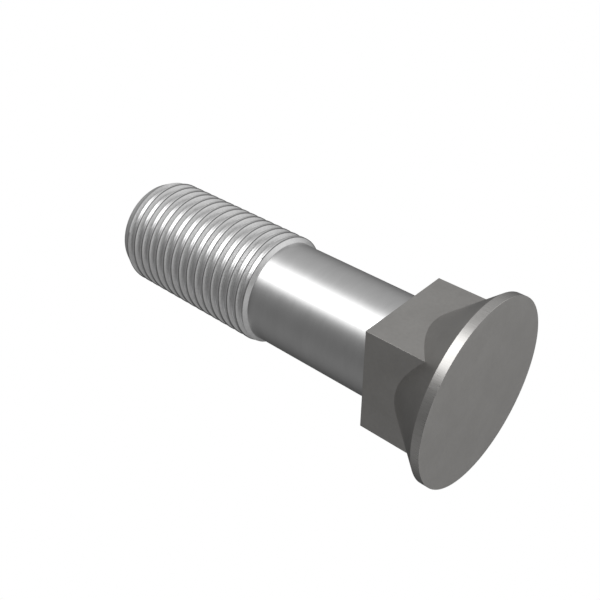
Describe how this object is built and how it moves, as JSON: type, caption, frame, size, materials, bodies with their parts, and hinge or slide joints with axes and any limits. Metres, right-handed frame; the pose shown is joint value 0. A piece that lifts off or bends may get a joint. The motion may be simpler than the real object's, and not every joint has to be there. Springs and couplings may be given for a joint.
{
  "type": "plow bolt",
  "caption": "Countersunk plow bolt: flat round head on a cone, square neck that stops it turning, reduced plain shank and a right-hand thread with a tapered point.",
  "frame": {"origin": "centre of the flat face of the head, on which the bolt stands", "axes": "+Z along the bolt's axis from the head to the threaded tip; +X and +Y square to the flats of the neck"},
  "size_m": [0.0252, 0.0252, 0.0571],
  "materials": {
    "steel": "satin"
  },
  "bodies": {
    "root": {"plow_bolt": "steel"}
  },
  "joints": []
}
